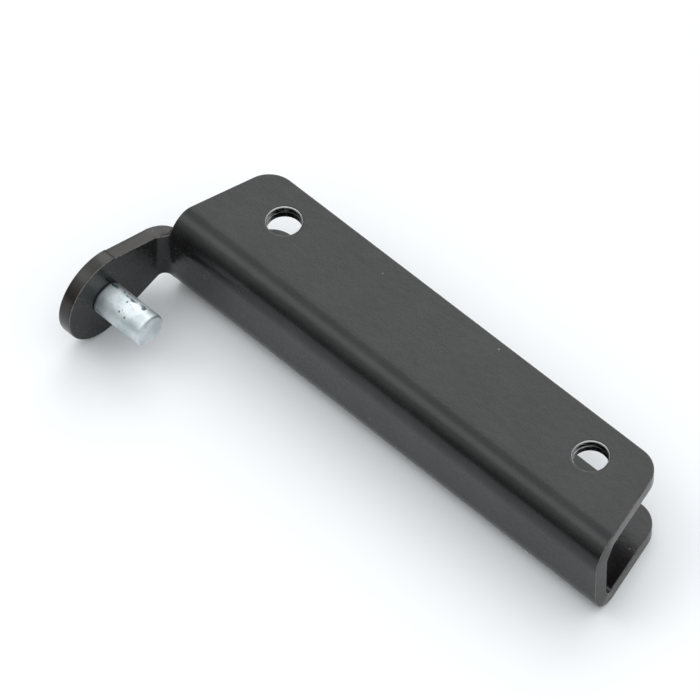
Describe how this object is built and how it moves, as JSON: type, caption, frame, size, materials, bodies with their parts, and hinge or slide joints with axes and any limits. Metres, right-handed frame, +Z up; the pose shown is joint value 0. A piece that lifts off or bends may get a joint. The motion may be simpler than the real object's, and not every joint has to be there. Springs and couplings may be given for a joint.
{
  "type": "gravity gate latch",
  "caption": "Latch arm of folded sheet steel: an open channel with a cross bore near each end, its web bent out at one end into a round ear that carries a riveted pin.",
  "frame": {"origin": "on the bottom face of the lower flange, on the axis of the bore nearest the ear", "axes": "+X along the channel towards its plain end, +Y from the web towards the free edges of the flanges, +Z up through both flanges along the bores"},
  "size_m": [0.0933, 0.0387, 0.0158],
  "materials": {
    "black_coating": "satin",
    "zinc_plate": "satin"
  },
  "bodies": {
    "root": {"channel_body": "black_coating", "latch_pin": "zinc_plate"}
  },
  "joints": []
}
